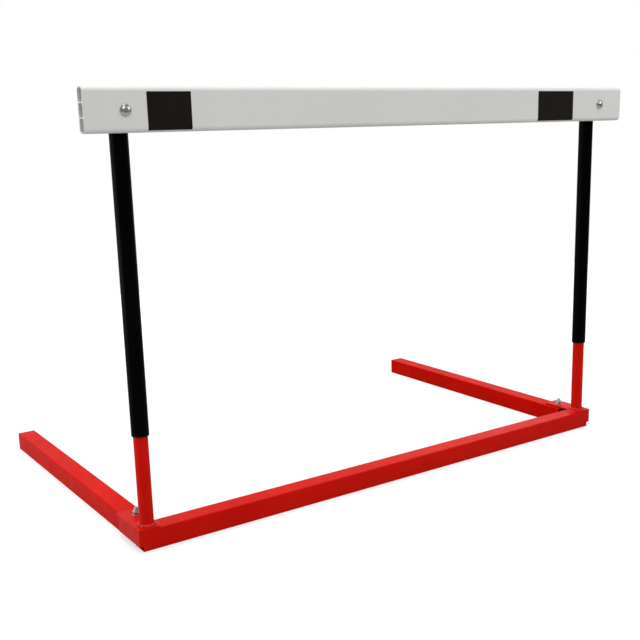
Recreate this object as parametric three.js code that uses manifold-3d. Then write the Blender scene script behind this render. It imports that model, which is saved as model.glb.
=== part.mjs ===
// A track hurdle: a welded base with two folding legs, telescoping uprights and a plastic crossbar.
// Lengths are millimetres. +X runs along the crossbar, +Y back along the legs and +Z up. Pieces are laid
// out from the middle of the front tube's front bottom edge, and the whole is centred at the end.
import * as THREE from 'three';
import { mergeVertices } from 'three/addons/utils/BufferGeometryUtils.js';
import Module from 'manifold-3d';

const wasm = await Module();
wasm.setup();

// Crossbar, a plastic extrusion with stacked cells, reaching past the bolts at each end
const barOverhang = 67.5;
const barHeight = 70;
const barThickness = 20;
const barWall = 2;
const barWebThickness = 1.6;
const barCornerRadius = 8;
const barCellCornerRadius = 5;
const barCells = 3;
const lowestBarTop = 767;

// Black rectangles of film on the bar's front face, placed inward from the bolts
const bandThickness = 0.3;
const bandTopInset = 8;
const bandBottomInset = 3;
const leftBandWidth = 76;
const leftBandOffset = 74;
const rightBandWidth = 104;
const rightBandOffset = 135;

// Height adjustment: the sleeve has one hole for each height in its back
const heightStep = 76.2;
const heightSteps = 4;

// Square tubes of the base
const tubeSide = 38;
const tubeWall = 2;
const tubeCornerRadius = 2.5;
const frontTubeLength = 1115;
const baseDepth = 690;
const legTopClearance = 0.5;
const legEndPlateThickness = 2;

// Corner brackets: a plate on top of the tube's end with a flange hanging outside it
const plateLength = 100;
const plateThickness = 3;
const plateCornerRadius = 3;
const plateMargin = 0.5;
const flangeThickness = 8;
const flangeLength = 90;
const flangeGroundGap = 10;
const plateWeldWidth = 7;
const plateWeldInset = 3;

// Leg pivots
const legSideGap = 0.5;
const legFrontGap = 16;
const pivotSetback = 32;
const pivotBoltDiameter = 8;
const pivotAcrossFlats = 13;
const pivotHeadHeight = 5.3;
const pivotAccessHoleDiameter = 22;
const pivotWasherDiameter = 16;
const pivotWasherThickness = 1.6;
const pivotNutHeight = 8;
const pivotNutHexHeight = 5.5;
const pivotNutCollarDiameter = 11.5;
const pivotThreadEnd = 5;

// Posts, the thin tubes that stand on the brackets
const postInset = 15.5;
const postDiameter = 25;
const postWall = 2;
const postAboveButton = 42;
const postWeldWidth = 3.5;
const postWeldHeight = 5;

// Sleeves, the tubes that slide over the posts and carry the bar
const sleeveClearance = 1;
const sleeveWall = 1.5;
const sleeveLength = 546;
const sleeveAboveBolt = 19;
const topHoleDrop = 102;
const slidingGap = 0.25;

// Guide bush, sleeve cap and post plug
const bushLipHeight = 3;
const bushLipRounding = 1.2;
const bushLength = 28;
const capThickness = 3;
const capPlugLength = 10;
const plugHeadThickness = 2;
const plugLength = 14;
const mouldingWall = 1.6;

// Snap clip: a button on a bent strip of spring steel
const buttonDiameter = 8;
const buttonProud = 2;
const buttonHoleGap = 0.3;
const clipThickness = 0.8;
const clipWidth = 8;
const clipLength = 52;
const clipBendWidth = 6;
const clipAboveButton = 6;
const clipWallGap = 0.3;

// Bolts through the bar and the sleeves
const barBoltDiameter = 8;
const barBoltHeadDiameter = 19;
const barBoltHeadHeight = 4.6;
const barBoltAboveEdge = 34;
const barWasherDiameter = 18;
const barWasherThickness = 1.6;
const barNutAcrossFlats = 13;
const barNutHeight = 6.5;
const barBoltThreadEnd = 3;

// Fits shared by all the pieces
const boltHoleGap = 0.3;
const threadGap = 0.1;
const seatGap = 0.05;
const boltChamfer = 0.8;
const cutOverrun = 2;

// Smoothness of round surfaces, in facets
const tubeFacets = 40;
const smallFacets = 24;
const cornerFacets = 3;
const domeFacets = 4;

// Sizes and places that follow from those above
const barTop = lowestBarTop;
const barBottom = barTop - barHeight;
const barMiddle = (barTop + barBottom) / 2;
const barBoltZ = barBottom + barBoltAboveEdge;
const postX = frontTubeLength / 2 - postInset;
const barLength = 2 * (postX + barOverhang);
const postY = tubeSide / 2;
const postBore = postDiameter - 2 * postWall;
const sleeveBore = postDiameter + 2 * sleeveClearance;
const sleeveDiameter = sleeveBore + 2 * sleeveWall;
const sleeveTop = barBoltZ + sleeveAboveBolt;
const sleeveBottom = sleeveTop - sleeveLength;
const buttonZ = sleeveTop - topHoleDrop;
const buttonHoleDiameter = buttonDiameter + 2 * buttonHoleGap;
const plateTop = tubeSide + plateThickness;
const postTop = buttonZ + postAboveButton;
const barBackY = postY - sleeveDiameter / 2;
const barFrontY = barBackY - barThickness;
const barMiddleY = barBackY - barThickness / 2;
const barBoltHoleDiameter = barBoltDiameter + 2 * boltHoleGap;
const sleeveBackY = postY + sleeveDiameter / 2;
const legSide = tubeSide - legTopClearance;
const pivotX = frontTubeLength / 2 - legSideGap - legSide / 2;
const pivotY = tubeSide + pivotSetback;
const legFrontY = tubeSide + legFrontGap;
const legTubeLength = baseDepth - legFrontY - legEndPlateThickness;
const swingRadius = legSide / 2 + legSideGap / 2;
const pivotHoleDiameter = pivotBoltDiameter + 2 * boltHoleGap;
const plateReach = postInset + postDiameter / 2 + postWeldWidth + plateMargin;

// Finishes, coloured as in the photograph
const finish = (color, roughness, metalness) =>
  new THREE.MeshStandardMaterial({ color, roughness, metalness });
const redPaint = finish('#b3150d', 0.35, 0.1);
const blackPaint = finish('#0c0c0d', 0.35, 0.1);
const whitePlastic = finish('#cfcfcb', 0.5, 0);
const blackFilm = finish('#1c1815', 0.55, 0);
const blackPlastic = finish('#141414', 0.6, 0);
const zinc = finish('#c4c6c8', 0.3, 0.95);
const springSteel = finish('#9a9ca0', 0.3, 0.95);

// Merges the shared corners of a geometry and drops the empty triangles that meet the axis of a lathe
function closed(geometry) {
  const bare = geometry.clone();
  bare.deleteAttribute('normal');
  bare.deleteAttribute('uv');
  const merged = mergeVertices(bare);
  const old = merged.index.array;
  const kept = [];
  for (let i = 0; i < old.length; i += 3) {
    const [a, b, c] = [old[i], old[i + 1], old[i + 2]];
    if (a !== b && b !== c && c !== a) {
      kept.push(a, b, c);
    }
  }
  merged.setIndex(kept);
  merged.computeVertexNormals();
  return merged;
}

// Turns a closed geometry into a solid that can be cut and joined
function solidOf(geometry) {
  const mesh = closed(geometry);
  const triVerts = new Uint32Array(mesh.index.array);
  const vertProperties = new Float32Array(mesh.attributes.position.array);
  return new wasm.Manifold(new wasm.Mesh({ numProp: 3, vertProperties, triVerts }));
}

// Turns a solid back into a geometry
function geometryOf(solid) {
  const { vertProperties, triVerts } = solid.getMesh();
  const geometry = new THREE.BufferGeometry();
  geometry.setAttribute('position', new THREE.BufferAttribute(vertProperties, 3));
  geometry.setIndex(new THREE.BufferAttribute(triVerts, 1));
  geometry.computeVertexNormals();
  return geometry;
}

// The base geometry less every cutter in turn
function cut(geometry, cutters) {
  return geometryOf(cutters.reduce((rest, cutter) => rest.subtract(solidOf(cutter)), solidOf(geometry)));
}

function join(first, second) {
  return geometryOf(solidOf(first).add(solidOf(second)));
}

// Turns what was drawn in a plane and raised along z to run along x (drawn in y, z) or y (drawn in z, x)
const alongX = new THREE.Matrix4().makeBasis(
  new THREE.Vector3(0, 1, 0), new THREE.Vector3(0, 0, 1), new THREE.Vector3(1, 0, 0));
const alongY = new THREE.Matrix4().makeBasis(
  new THREE.Vector3(0, 0, 1), new THREE.Vector3(1, 0, 0), new THREE.Vector3(0, 1, 0));

function raised(shape, height) {
  const options = { depth: height, bevelEnabled: false, curveSegments: cornerFacets };
  return new THREE.ExtrudeGeometry(shape, options);
}

// A rectangle about the origin with rounded corners
function roundedRectangle(width, height, radius, Kind = THREE.Shape) {
  const [x, y] = [width / 2 - radius, height / 2 - radius];
  const outline = new Kind();
  outline.absarc(x, y, radius, 0, Math.PI / 2);
  outline.absarc(-x, y, radius, Math.PI / 2, Math.PI);
  outline.absarc(-x, -y, radius, Math.PI, 3 * Math.PI / 2);
  outline.absarc(x, -y, radius, 3 * Math.PI / 2, 2 * Math.PI);
  return outline;
}

// The section of a square tube
function tubeSection(side) {
  const section = roundedRectangle(side, side, tubeCornerRadius);
  const bore = side - 2 * tubeWall;
  section.holes.push(roundedRectangle(bore, bore, tubeCornerRadius - tubeWall, THREE.Path));
  return section;
}

// A solid turned about z from points of radius and height, listed upwards on the outside
function turned(points, facets) {
  const profile = points.map(([radius, height]) => new THREE.Vector2(radius, height));
  return closed(new THREE.LatheGeometry(profile, facets).rotateX(Math.PI / 2));
}

function ring(outer, inner, height, facets) {
  const [out, bore] = [outer / 2, inner / 2];
  return turned([[out, 0], [out, height], [bore, height], [bore, 0], [out, 0]], facets);
}

function rod(diameter, from, to, facets) {
  const radius = diameter / 2;
  return turned([[0, from], [radius, from], [radius, to], [0, to]], facets);
}

// A rod through the origin along y, from one place to another
function rodAlongY(diameter, from, to, facets) {
  return rod(diameter, from, to, facets).applyMatrix4(alongY);
}

function hexagon(acrossFlats, from, to) {
  return rod(2 * acrossFlats / Math.sqrt(3), from, to, 6);
}

// A quarter of an ellipse, as points from its foot on the radius axis to its top
function quarterEllipse(centre, foot, width, height, facets) {
  const points = [];
  for (let i = 0; i <= facets; i += 1) {
    const angle = i / facets * Math.PI / 2;
    points.push([centre + width * Math.cos(angle), foot + height * Math.sin(angle)]);
  }
  return points;
}

function block(xs, ys, zs) {
  const geometry = new THREE.BoxGeometry(xs[1] - xs[0], ys[1] - ys[0], zs[1] - zs[0]);
  return geometry.translate((xs[0] + xs[1]) / 2, (ys[0] + ys[1]) / 2, (zs[0] + zs[1]) / 2);
}

// A pair of rising values on the right side, or its mirror image on the left
const mirrored = (sign, a, b) => (sign > 0 ? [a, b] : [-b, -a]);

function place(group, name, geometry, material, x, y, z) {
  const mesh = new THREE.Mesh(closed(geometry), material);
  mesh.name = name;
  mesh.position.set(x, y, z);
  group.add(mesh);
}

function frontTube() {
  return raised(tubeSection(tubeSide), frontTubeLength).translate(0, 0, -frontTubeLength / 2)
    .applyMatrix4(alongX);
}

// The corner bracket, from the tube's end: the plate reaches inward, the flange hangs outward
function cornerBracket(sign) {
  const outer = flangeThickness;
  const inner = -plateReach;
  const rear = plateLength;
  const round = plateCornerRadius;
  const outline = new THREE.Shape();
  outline.moveTo(sign * outer, 0);
  outline.lineTo(sign * outer, rear - round);
  outline.quadraticCurveTo(sign * outer, rear, sign * (outer - round), rear);
  outline.lineTo(sign * (inner + round), rear);
  outline.quadraticCurveTo(sign * inner, rear, sign * inner, rear - round);
  outline.lineTo(sign * inner, 0);
  const plate = raised(outline, plateThickness).translate(0, 0, tubeSide);
  const flange = block(mirrored(sign, 0, outer), [0, flangeLength], [flangeGroundGap, plateTop]);
  const hole = rod(pivotHoleDiameter, -cutOverrun, plateThickness + cutOverrun, smallFacets)
    .translate(sign * (pivotX - frontTubeLength / 2), pivotY, tubeSide);
  return cut(join(plate, flange), [hole]);
}

// The weld along the plate's inner edge on top of the front tube
function plateWeld(sign) {
  const bead = new THREE.Shape();
  const profile = quarterEllipse(0, 0, plateWeldWidth, plateThickness, domeFacets);
  bead.setFromPoints([[0, 0], ...profile].map(([along, up]) => new THREE.Vector2(up, -sign * along)));
  return raised(bead, tubeSide - 2 * (tubeCornerRadius + plateWeldInset)).applyMatrix4(alongY);
}

function post() {
  const tube = ring(postDiameter, postBore, postTop - plateTop, tubeFacets);
  const hole = rodAlongY(buttonHoleDiameter, 0, postDiameter / 2 + cutOverrun, smallFacets)
    .translate(0, 0, buttonZ - plateTop);
  return cut(tube, [hole]);
}

function postWeld() {
  const inner = postDiameter / 2 + seatGap;
  const profile = quarterEllipse(inner, 0, postWeldWidth, postWeldHeight, domeFacets);
  return turned([...profile, [inner, 0], profile[0]], tubeFacets);
}

// A hollow moulded plug with a head of the given size, its body reaching down into a bore
function plug(headDiameter, headThickness, bore, bodyLength) {
  const [head, body] = [headDiameter / 2, bore / 2 - seatGap];
  const inside = body - mouldingWall;
  return turned([
    [0, 0], [inside, 0], [inside, -bodyLength], [body, -bodyLength], [body, 0], [head, 0],
    [head, headThickness / 2], [head - headThickness / 2, headThickness], [0, headThickness],
  ], tubeFacets);
}

// The leg tube from the pivot: its outer front corner is rounded to clear the flange as it swings
function legTube(sign) {
  const front = legFrontY - pivotY;
  const half = legSide / 2;
  const tube = raised(tubeSection(legSide), legTubeLength).translate(0, 0, front)
    .applyMatrix4(alongY).translate(0, 0, half);
  const ends = [-cutOverrun, legSide + cutOverrun];
  const corner = block(mirrored(sign, 0, half + cutOverrun), [front - cutOverrun, 0], ends);
  const keep = rod(2 * swingRadius, ends[0] - cutOverrun, ends[1] + cutOverrun, tubeFacets);
  const boltHole = rod(pivotHoleDiameter, half, ends[1], smallFacets);
  const accessHole = rod(pivotAccessHoleDiameter, ends[0], half, smallFacets);
  return cut(tube, [cut(corner, [keep]), boltHole, accessHole]);
}

function legEndPlate() {
  return raised(roundedRectangle(legSide, legSide, tubeCornerRadius), legEndPlateThickness)
    .applyMatrix4(alongY);
}

// A bolt along z with its head below the origin
function pivotBolt() {
  const radius = pivotBoltDiameter / 2;
  const clamped = tubeWall + legTopClearance + plateThickness + pivotWasherThickness;
  const length = clamped + pivotNutHeight + pivotThreadEnd;
  const shank = turned([
    [0, -pivotHeadHeight / 2], [radius, -pivotHeadHeight / 2], [radius, length - boltChamfer],
    [radius - boltChamfer, length], [0, length],
  ], smallFacets);
  return join(hexagon(pivotAcrossFlats, -pivotHeadHeight, 0), shank);
}

function nut(acrossFlats, bore, height) {
  const hole = rod(bore, -cutOverrun, height + cutOverrun, smallFacets);
  return cut(hexagon(acrossFlats, 0, height), [hole]);
}

// The hexagon has a round collar on top that grips the thread, so the leg can turn without loosening it
function lockNut() {
  const bore = rod(pivotBoltDiameter + 2 * threadGap, -cutOverrun, pivotNutHeight + cutOverrun, smallFacets);
  const collar = rod(pivotNutCollarDiameter, 0, pivotNutHeight, smallFacets);
  return cut(join(hexagon(pivotAcrossFlats, 0, pivotNutHexHeight), collar), [bore]);
}

function sleeve() {
  const tube = ring(sleeveDiameter, sleeveBore, sleeveLength, tubeFacets);
  const reach = sleeveDiameter / 2 + cutOverrun;
  const boltHole = rodAlongY(barBoltHoleDiameter, -reach, reach, smallFacets)
    .translate(0, 0, barBoltZ - sleeveBottom);
  const holes = [boltHole];
  for (let i = 0; i <= heightSteps; i += 1) {
    const hole = rodAlongY(buttonHoleDiameter, 0, reach, smallFacets);
    holes.push(hole.translate(0, 0, sleeveLength - topHoleDrop - i * heightStep));
  }
  return cut(tube, holes);
}

// The guide bush: a lip under the sleeve's end and a thin wall inside it
function guideBush() {
  const [lip, body] = [sleeveDiameter / 2, sleeveBore / 2 - seatGap];
  const bore = postDiameter / 2 + slidingGap;
  return turned([
    [lip - bushLipRounding, -bushLipHeight], [lip, bushLipRounding - bushLipHeight], [lip, 0],
    [body, 0], [body, bushLength], [bore, bushLength], [bore, -bushLipHeight],
    [lip - bushLipRounding, -bushLipHeight],
  ], tubeFacets);
}

// The snap clip about the post's axis, with z zero at the button's centre
function snapClip() {
  const spread = Math.sqrt((postBore / 2) ** 2 - (clipWidth / 2) ** 2) - clipWallGap;
  const [bend, wall] = [clipBendWidth / 2, clipThickness];
  const [top, bottom] = [clipAboveButton, clipAboveButton - clipLength];
  const strip = new THREE.Shape();
  strip.setFromPoints([
    [-spread, top], [-bend, bottom], [bend, bottom], [spread, top],
    [spread - wall, top], [bend - wall, bottom + wall], [wall - bend, bottom + wall], [wall - spread, top],
  ].map(([y, z]) => new THREE.Vector2(y, z)));
  const spring = raised(strip, clipWidth).translate(0, 0, -clipWidth / 2).applyMatrix4(alongX);
  const legAtButton = spread - (spread - bend) * clipAboveButton / clipLength;
  const tip = sleeveDiameter / 2 + buttonProud;
  const dome = quarterEllipse(0, tip - buttonProud, buttonDiameter / 2, buttonProud, domeFacets);
  const button = turned([[0, legAtButton - wall], [buttonDiameter / 2, legAtButton - wall], ...dome],
    smallFacets).applyMatrix4(alongY);
  return join(spring, button);
}

// The crossbar, drawn in y and z about its middle, with its cells stacked between thin webs
function crossbar() {
  const section = roundedRectangle(barThickness, barHeight, barCornerRadius);
  const inside = barHeight - 2 * barWall;
  const cell = (inside - (barCells - 1) * barWebThickness) / barCells;
  for (let i = 0; i < barCells; i += 1) {
    const middle = (i - (barCells - 1) / 2) * (cell + barWebThickness);
    const opening = roundedRectangle(barThickness - 2 * barWall, cell, barCellCornerRadius, THREE.Path);
    const points = opening.getPoints(cornerFacets).map((p) => new THREE.Vector2(p.x, p.y + middle));
    section.holes.push(new THREE.Path(points));
  }
  const bar = raised(section, barLength).translate(0, 0, -barLength / 2).applyMatrix4(alongX);
  const reach = barThickness / 2 + cutOverrun;
  const height = barBoltZ - barMiddle;
  const holes = [-1, 1].map((sign) => rodAlongY(barBoltHoleDiameter, -reach, reach, smallFacets)
    .translate(sign * postX, 0, height));
  return cut(bar, holes);
}

// A domed bolt along y, its head in front of the origin
function barBolt() {
  const length = barThickness + sleeveDiameter + barWasherThickness + barNutHeight + barBoltThreadEnd;
  const radius = barBoltDiameter / 2;
  const dome = quarterEllipse(0, 0, barBoltHeadDiameter / 2, barBoltHeadHeight, domeFacets);
  const underHead = dome.map(([out, up]) => [out, -up]).reverse();
  return turned([
    ...underHead, [radius, 0], [radius, length - boltChamfer], [radius - boltChamfer, length], [0, length],
  ], smallFacets).applyMatrix4(alongY);
}

// A film on the bar's front face that follows its rounded edge, drawn about the bar's middle
function band(width) {
  const [thickness, height] = [barThickness + 2 * bandThickness, barHeight + 2 * bandThickness];
  const section = roundedRectangle(thickness, height, barCornerRadius + bandThickness);
  section.holes.push(roundedRectangle(barThickness, barHeight, barCornerRadius, THREE.Path));
  const wrap = raised(section, width).translate(0, 0, -width / 2).applyMatrix4(alongX);
  const [bottom, top] = [bandBottomInset - barHeight / 2, barHeight / 2 - bandTopInset];
  return cut(wrap, [
    block([-width, width], [0, barThickness], [-barHeight, barHeight]),
    block([-width, width], [-barThickness, barThickness], [-barHeight, bottom]),
    block([-width, width], [-barThickness, barThickness], [top, barHeight]),
  ]);
}

// The base that stands on the ground
const hurdle = new THREE.Group();
place(hurdle, 'front_tube', frontTube(), redPaint, 0, tubeSide / 2, tubeSide / 2);

for (const [side, sign] of [['left', -1], ['right', 1]]) {
  const weldX = frontTubeLength / 2 - plateReach;
  const weldY = tubeCornerRadius + plateWeldInset;
  place(hurdle, `${side}_corner_bracket`, cornerBracket(sign), redPaint, sign * frontTubeLength / 2, 0, 0);
  place(hurdle, `${side}_plate_weld`, plateWeld(sign), redPaint, sign * weldX, weldY, tubeSide);
  place(hurdle, `${side}_post`, post(), redPaint, sign * postX, postY, plateTop);
  place(hurdle, `${side}_post_weld`, postWeld(), redPaint, sign * postX, postY, plateTop);
  place(hurdle, `${side}_post_plug`, plug(postDiameter, plugHeadThickness, postBore, plugLength),
    blackPlastic, sign * postX, postY, postTop);
}

// Folding legs and their pivots
for (const [side, sign] of [['left', -1], ['right', 1]]) {
  const x = sign * pivotX;
  const washerTop = plateTop + pivotWasherThickness;
  place(hurdle, `${side}_leg_tube`, legTube(sign), redPaint, x, pivotY, 0);
  place(hurdle, `${side}_leg_end_plate`, legEndPlate(), redPaint,
    x, baseDepth - legEndPlateThickness, legSide / 2);
  place(hurdle, `${side}_pivot_bolt`, pivotBolt(), zinc, x, pivotY, legSide - tubeWall);
  place(hurdle, `${side}_pivot_washer`,
    ring(pivotWasherDiameter, pivotHoleDiameter, pivotWasherThickness, smallFacets),
    zinc, x, pivotY, plateTop);
  place(hurdle, `${side}_pivot_nut`, lockNut(), zinc, x, pivotY, washerTop);
}

// What slides up and down on the posts
for (const [side, sign] of [['left', -1], ['right', 1]]) {
  const x = sign * postX;
  const washer = ring(barWasherDiameter, barBoltHoleDiameter, barWasherThickness, smallFacets);
  const barNut = nut(barNutAcrossFlats, barBoltDiameter + 2 * threadGap, barNutHeight);
  place(hurdle, `${side}_sleeve`, sleeve(), blackPaint, x, postY, sleeveBottom);
  place(hurdle, `${side}_guide_bush`, guideBush(), blackPlastic, x, postY, sleeveBottom);
  place(hurdle, `${side}_sleeve_cap`, plug(sleeveDiameter, capThickness, sleeveBore, capPlugLength),
    blackPlastic, x, postY, sleeveTop);
  place(hurdle, `${side}_snap_clip`, snapClip(), springSteel, x, postY, buttonZ);
  place(hurdle, `${side}_bar_bolt`, barBolt(), zinc, x, barFrontY, barBoltZ);
  place(hurdle, `${side}_bar_washer`, washer.applyMatrix4(alongY), zinc, x, sleeveBackY, barBoltZ);
  place(hurdle, `${side}_bar_nut`, barNut.applyMatrix4(alongY), zinc,
    x, sleeveBackY + barWasherThickness, barBoltZ);
}

place(hurdle, 'crossbar', crossbar(), whitePlastic, 0, barMiddleY, barMiddle);
place(hurdle, 'left_black_band', band(leftBandWidth), blackFilm,
  leftBandOffset - postX, barMiddleY, barMiddle);
place(hurdle, 'right_black_band', band(rightBandWidth), blackFilm,
  postX - rightBandOffset, barMiddleY, barMiddle);

// Centred over its footprint, from the bolt heads to the legs' rear ends
hurdle.position.y = -(baseDepth + barFrontY - barBoltHeadHeight) / 2;

export default hurdle;
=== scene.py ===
import math

import bmesh
import bpy
import numpy as np
from mathutils import Matrix, Vector, noise

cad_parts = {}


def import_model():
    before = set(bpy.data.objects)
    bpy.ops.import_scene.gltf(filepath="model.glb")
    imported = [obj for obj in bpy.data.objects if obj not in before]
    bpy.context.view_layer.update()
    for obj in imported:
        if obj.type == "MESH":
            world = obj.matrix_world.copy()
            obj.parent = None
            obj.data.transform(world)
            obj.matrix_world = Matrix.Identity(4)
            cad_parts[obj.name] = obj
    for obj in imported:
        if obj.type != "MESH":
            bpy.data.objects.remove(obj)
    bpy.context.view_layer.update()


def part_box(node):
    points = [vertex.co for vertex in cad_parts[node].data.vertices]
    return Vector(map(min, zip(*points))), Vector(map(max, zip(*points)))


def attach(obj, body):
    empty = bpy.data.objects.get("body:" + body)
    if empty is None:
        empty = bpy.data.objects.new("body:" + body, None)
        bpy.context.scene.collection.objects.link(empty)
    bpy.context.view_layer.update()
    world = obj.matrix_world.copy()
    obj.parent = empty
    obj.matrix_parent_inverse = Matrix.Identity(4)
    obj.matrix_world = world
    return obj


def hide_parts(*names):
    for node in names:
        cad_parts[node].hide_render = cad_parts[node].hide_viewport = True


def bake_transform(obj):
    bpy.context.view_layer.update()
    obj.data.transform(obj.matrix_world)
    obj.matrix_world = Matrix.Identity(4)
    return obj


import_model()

# Lengths below are in millimetres and are scaled once, when a mesh is made.
MM = 0.001
SIDES = (("left", -1), ("right", 1))
# Which of u, v and w lies along x, y and z in a piece whose w is laid along the axis
AXES = {"X": (2, 0, 1), "Y": (0, 2, 1), "Z": (0, 1, 2)}


def box(node):
    """Lowest and highest corner of a CAD node, in millimetres."""
    low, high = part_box(node)
    return np.array(low) / MM, np.array(high) / MM


def middle(node):
    low, high = box(node)
    return (low + high) / 2


def along(node, axis):
    """A node's two ends along an axis, half its width in x, and the line along the axis at its middle."""
    low, high = box(node)
    line = (low + high) / 2
    k = "XYZ".index(axis)
    line[k] = 0
    return low[k], high[k], (high[0] - low[0]) / 2, line


# Meshes: most pieces are built from rows of points, in u, v across the piece and w along it

def fillet(points, radii, steps=4, closed=True):
    """The points of an outline with its corners rounded."""
    made = []
    count = len(points)
    points = [np.array(p, float) for p in points]
    for i, p in enumerate(points):
        r = radii[i] if hasattr(radii, "__len__") else radii
        if r <= 0 or (not closed and i in (0, count - 1)):
            made.append(tuple(p))
            continue
        a, b = points[i - 1] - p, points[(i + 1) % count] - p
        a, b = a / np.linalg.norm(a), b / np.linalg.norm(b)
        angle = math.acos(float(np.clip(a @ b, -1, 1)))
        centre = p + (a + b) / np.linalg.norm(a + b) * r / math.sin(angle / 2)
        start = p + a * r / math.tan(angle / 2) - centre
        end = p + b * r / math.tan(angle / 2) - centre
        turn = math.pi - angle
        for k in range(steps + 1):
            share = k / steps
            arm = (math.sin((1 - share) * turn) * start + math.sin(share * turn) * end) / math.sin(turn)
            made.append(tuple(centre + arm))
    return made


def square_loop(width, height, radius, steps=8):
    """A function that gives the outline of a rounded rectangle, drawn in by an inset."""
    def loop(inset):
        r = max(radius - inset, 0.2)
        points = []
        for q, (sx, sy) in enumerate(((1, 1), (-1, 1), (-1, -1), (1, -1))):
            cx, cy = sx * (width / 2 - inset - r), sy * (height / 2 - inset - r)
            for k in range(steps + 1):
                a = (q + k / steps) * math.pi / 2
                points.append((cx + r * math.cos(a), cy + r * math.sin(a)))
        return points
    return loop


def circle(radius, count):
    return [(radius * math.sin(2 * math.pi * j / count), -radius * math.cos(2 * math.pi * j / count))
            for j in range(count)]


def level(points, w):
    """A row: a loop of u, v points at one place along w."""
    return [(u, v, w) for u, v in points]


def swept(profile, loop):
    """Rows from (inset, w) points and a function that gives the outline at an inset."""
    return [level(loop(inset), w) for inset, w in profile]


def turned(profile, count=64):
    """Rows of a turned solid from (radius, w) points. A point on the axis becomes one vertex."""
    return [[(0.0, 0.0, w)] if r < 1e-6 else level(circle(r, count), w) for r, w in profile]


def skin(rows, closed=False, caps=False):
    """A bmesh with quads between each row and the next. closed joins the last row to the first."""
    bm = bmesh.new()
    made = [[bm.verts.new(p) for p in row] for row in rows]
    pairs = list(zip(made, made[1:]))
    if closed:
        pairs.append((made[-1], made[0]))
    for low, high in pairs:
        count = max(len(low), len(high))
        for j in range(count):
            k = (j + 1) % count
            corners = [low[j % len(low)], low[k % len(low)], high[k % len(high)], high[j % len(high)]]
            unique = []
            for c in corners:
                if c not in unique:
                    unique.append(c)
            if len(unique) > 2:
                bm.faces.new(unique)
    if caps:
        for row in (made[0], made[-1]):
            if len(row) > 2:
                bm.faces.new(row)
    return bm


def bridge(bm, loops):
    """Adds quads between each closed loop of vertices and the next."""
    for a, b in zip(loops, loops[1:]):
        for j in range(len(a)):
            k = (j + 1) % len(a)
            bm.faces.new([a[j], a[k], b[k], b[j]])


def turn_to(bm, axis, at=(0, 0, 0)):
    """Turns u, v, w to lie with w along a world axis, and moves the piece to its place."""
    for v in bm.verts:
        v.co = Vector([v.co[k] for k in AXES[axis]]) + Vector(at)
    return bm


def block(low, high):
    bm = bmesh.new()
    bmesh.ops.create_cube(bm, size=1)
    for v in bm.verts:
        v.co = Vector([low[k] if v.co[k] < 0 else high[k] for k in range(3)])
    return bm


def cylinder(radius, low, high, axis, at, count=64):
    return turn_to(skin(turned([(0, low), (radius, low), (radius, high), (0, high)], count)), axis, at)


def boolean(base, others, operation):
    """Joins or cuts bmeshes with the exact solver."""
    def hold(bm):
        bmesh.ops.recalc_face_normals(bm, faces=bm.faces)
        mesh = bpy.data.meshes.new("tool")
        bm.to_mesh(mesh)
        bm.free()
        obj = bpy.data.objects.new("tool", mesh)
        bpy.context.scene.collection.objects.link(obj)
        return obj

    held = hold(base)
    tools = [hold(o) for o in others]
    for tool in tools:
        modifier = held.modifiers.new("cut", "BOOLEAN")
        modifier.object = tool
        modifier.operation = operation
        modifier.solver = "EXACT"
    bpy.context.view_layer.update()
    graph = bpy.context.evaluated_depsgraph_get()
    result = bmesh.new()
    result.from_mesh(held.evaluated_get(graph).to_mesh())
    for obj in [held, *tools]:
        mesh = obj.data
        bpy.data.objects.remove(obj)
        bpy.data.meshes.remove(mesh)
    bmesh.ops.remove_doubles(result, verts=result.verts, dist=1e-4)
    bmesh.ops.dissolve_degenerate(result, edges=result.edges, dist=1e-4)
    return result


def soften(bm, width, keep):
    """Rounds the edges that turn by over 25 degrees, but for those with both ends where keep says so."""
    bmesh.ops.recalc_face_normals(bm, faces=bm.faces)
    edges = [e for e in bm.edges if len(e.link_faces) == 2 and e.calc_face_angle() > math.radians(25)]
    edges = [e for e in edges if not all(keep(v.co) for v in e.verts)]
    bmesh.ops.bevel(bm, geom=edges, offset=width, segments=3, profile=0.5,
                    affect="EDGES", clamp_overlap=True)


def piece(node, bm, material, body, sharp=38):
    """Makes the finished object that stands for a CAD node and rides on its body, if one is given."""
    bmesh.ops.recalc_face_normals(bm, faces=bm.faces)
    for face in bm.faces:
        face.smooth = True
    for edge in bm.edges:
        edge.smooth = len(edge.link_faces) == 2 and edge.calc_face_angle() < math.radians(sharp)
    bmesh.ops.scale(bm, vec=(MM, MM, MM), verts=bm.verts)
    mesh = bpy.data.meshes.new(f"{node}_fine")
    bm.to_mesh(mesh)
    bm.free()
    obj = bpy.data.objects.new(f"{node}_fine", mesh)
    bpy.context.scene.collection.objects.link(obj)
    mesh.materials.append(material)
    weighted = obj.modifiers.new("normals", "WEIGHTED_NORMAL")
    weighted.keep_sharp = True
    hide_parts(node)
    if body is not None:
        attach(obj, body)
    return obj


# Materials

def calculate(tree, a, b, operation):
    """The output of a math node in a tree. Its inputs are numbers or the outputs of other nodes."""
    node = tree.nodes.new("ShaderNodeMath")
    node.operation = operation
    for value, socket in ((a, node.inputs[0]), (b, node.inputs[1])):
        if isinstance(value, bpy.types.NodeSocket):
            tree.links.new(value, socket)
        else:
            socket.default_value = value
    return node.outputs[0]


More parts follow.
